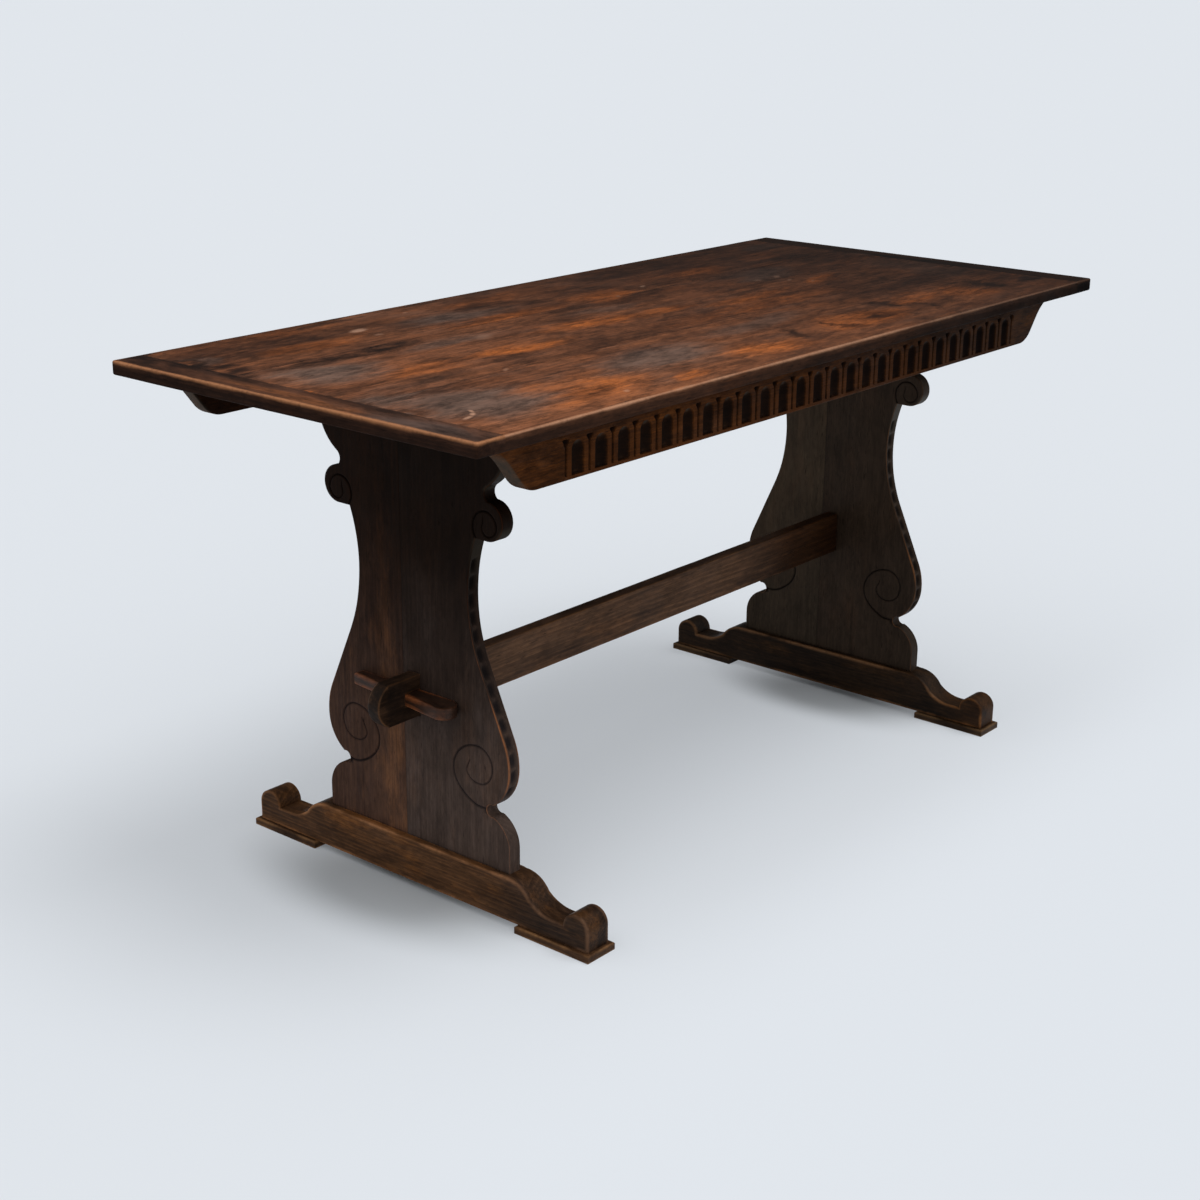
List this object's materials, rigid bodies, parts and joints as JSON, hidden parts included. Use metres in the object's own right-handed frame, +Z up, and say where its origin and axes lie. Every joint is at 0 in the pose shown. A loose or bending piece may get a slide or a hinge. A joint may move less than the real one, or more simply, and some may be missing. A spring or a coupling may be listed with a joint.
{
  "type": "refectory_table",
  "caption": "Oak refectory table with plank top, breadboard ends, fluted side aprons, lyre trestles on sledge feet and a keyed stretcher",
  "frame": {"origin": "on the floor under the middle of the top", "axes": "+X along the top's length, +Y across the top from the front long edge to the back one, +Z up"},
  "size_m": [1.498, 0.668, 0.75],
  "materials": {
    "top_wood": "waxed brown oak, worn satin",
    "breadboard_wood": "waxed brown oak, paler end grain",
    "apron_wood": "dark waxed oak, carved flutes",
    "trestle_wood": "dark waxed oak with worn amber arrises",
    "foot_wood": "dark waxed oak with worn amber arrises",
    "stretcher_wood": "dark waxed oak, figured grain",
    "key_wood": "waxed oak, rubbed",
    "hidden_wood": "unfinished sawn oak"
  },
  "bodies": {
    "root": {"top_board_front": "top_wood", "top_board_middle": "top_wood", "top_board_back": "top_wood", "breadboard_end_left": "breadboard_wood", "breadboard_end_right": "breadboard_wood", "apron_front": "apron_wood", "apron_back": "apron_wood", "apron_blocks_front": "hidden_wood", "apron_blocks_back": "hidden_wood", "bearer_left": "hidden_wood", "bearer_right": "hidden_wood", "trestle_left_front_board": "trestle_wood", "trestle_left_back_board": "trestle_wood", "trestle_right_front_board": "trestle_wood", "trestle_right_back_board": "trestle_wood", "foot_left": "foot_wood", "foot_right": "foot_wood", "foot_pad_left_front": "foot_wood", "foot_pad_left_back": "foot_wood", "foot_pad_right_front": "foot_wood", "foot_pad_right_back": "foot_wood", "stretcher": "stretcher_wood"},
    "key_left": {"key_left": "key_wood"},
    "key_right": {"key_right": "key_wood"}
  },
  "joints": [
    {"name": "key_left_slide", "type": "slide", "parent": "root", "child": "key_left", "axis": [0, -1, 0], "range_m": [0, 0.105]},
    {"name": "key_right_slide", "type": "slide", "parent": "root", "child": "key_right", "axis": [0, -1, 0], "range_m": [0, 0.105]}
  ]
}
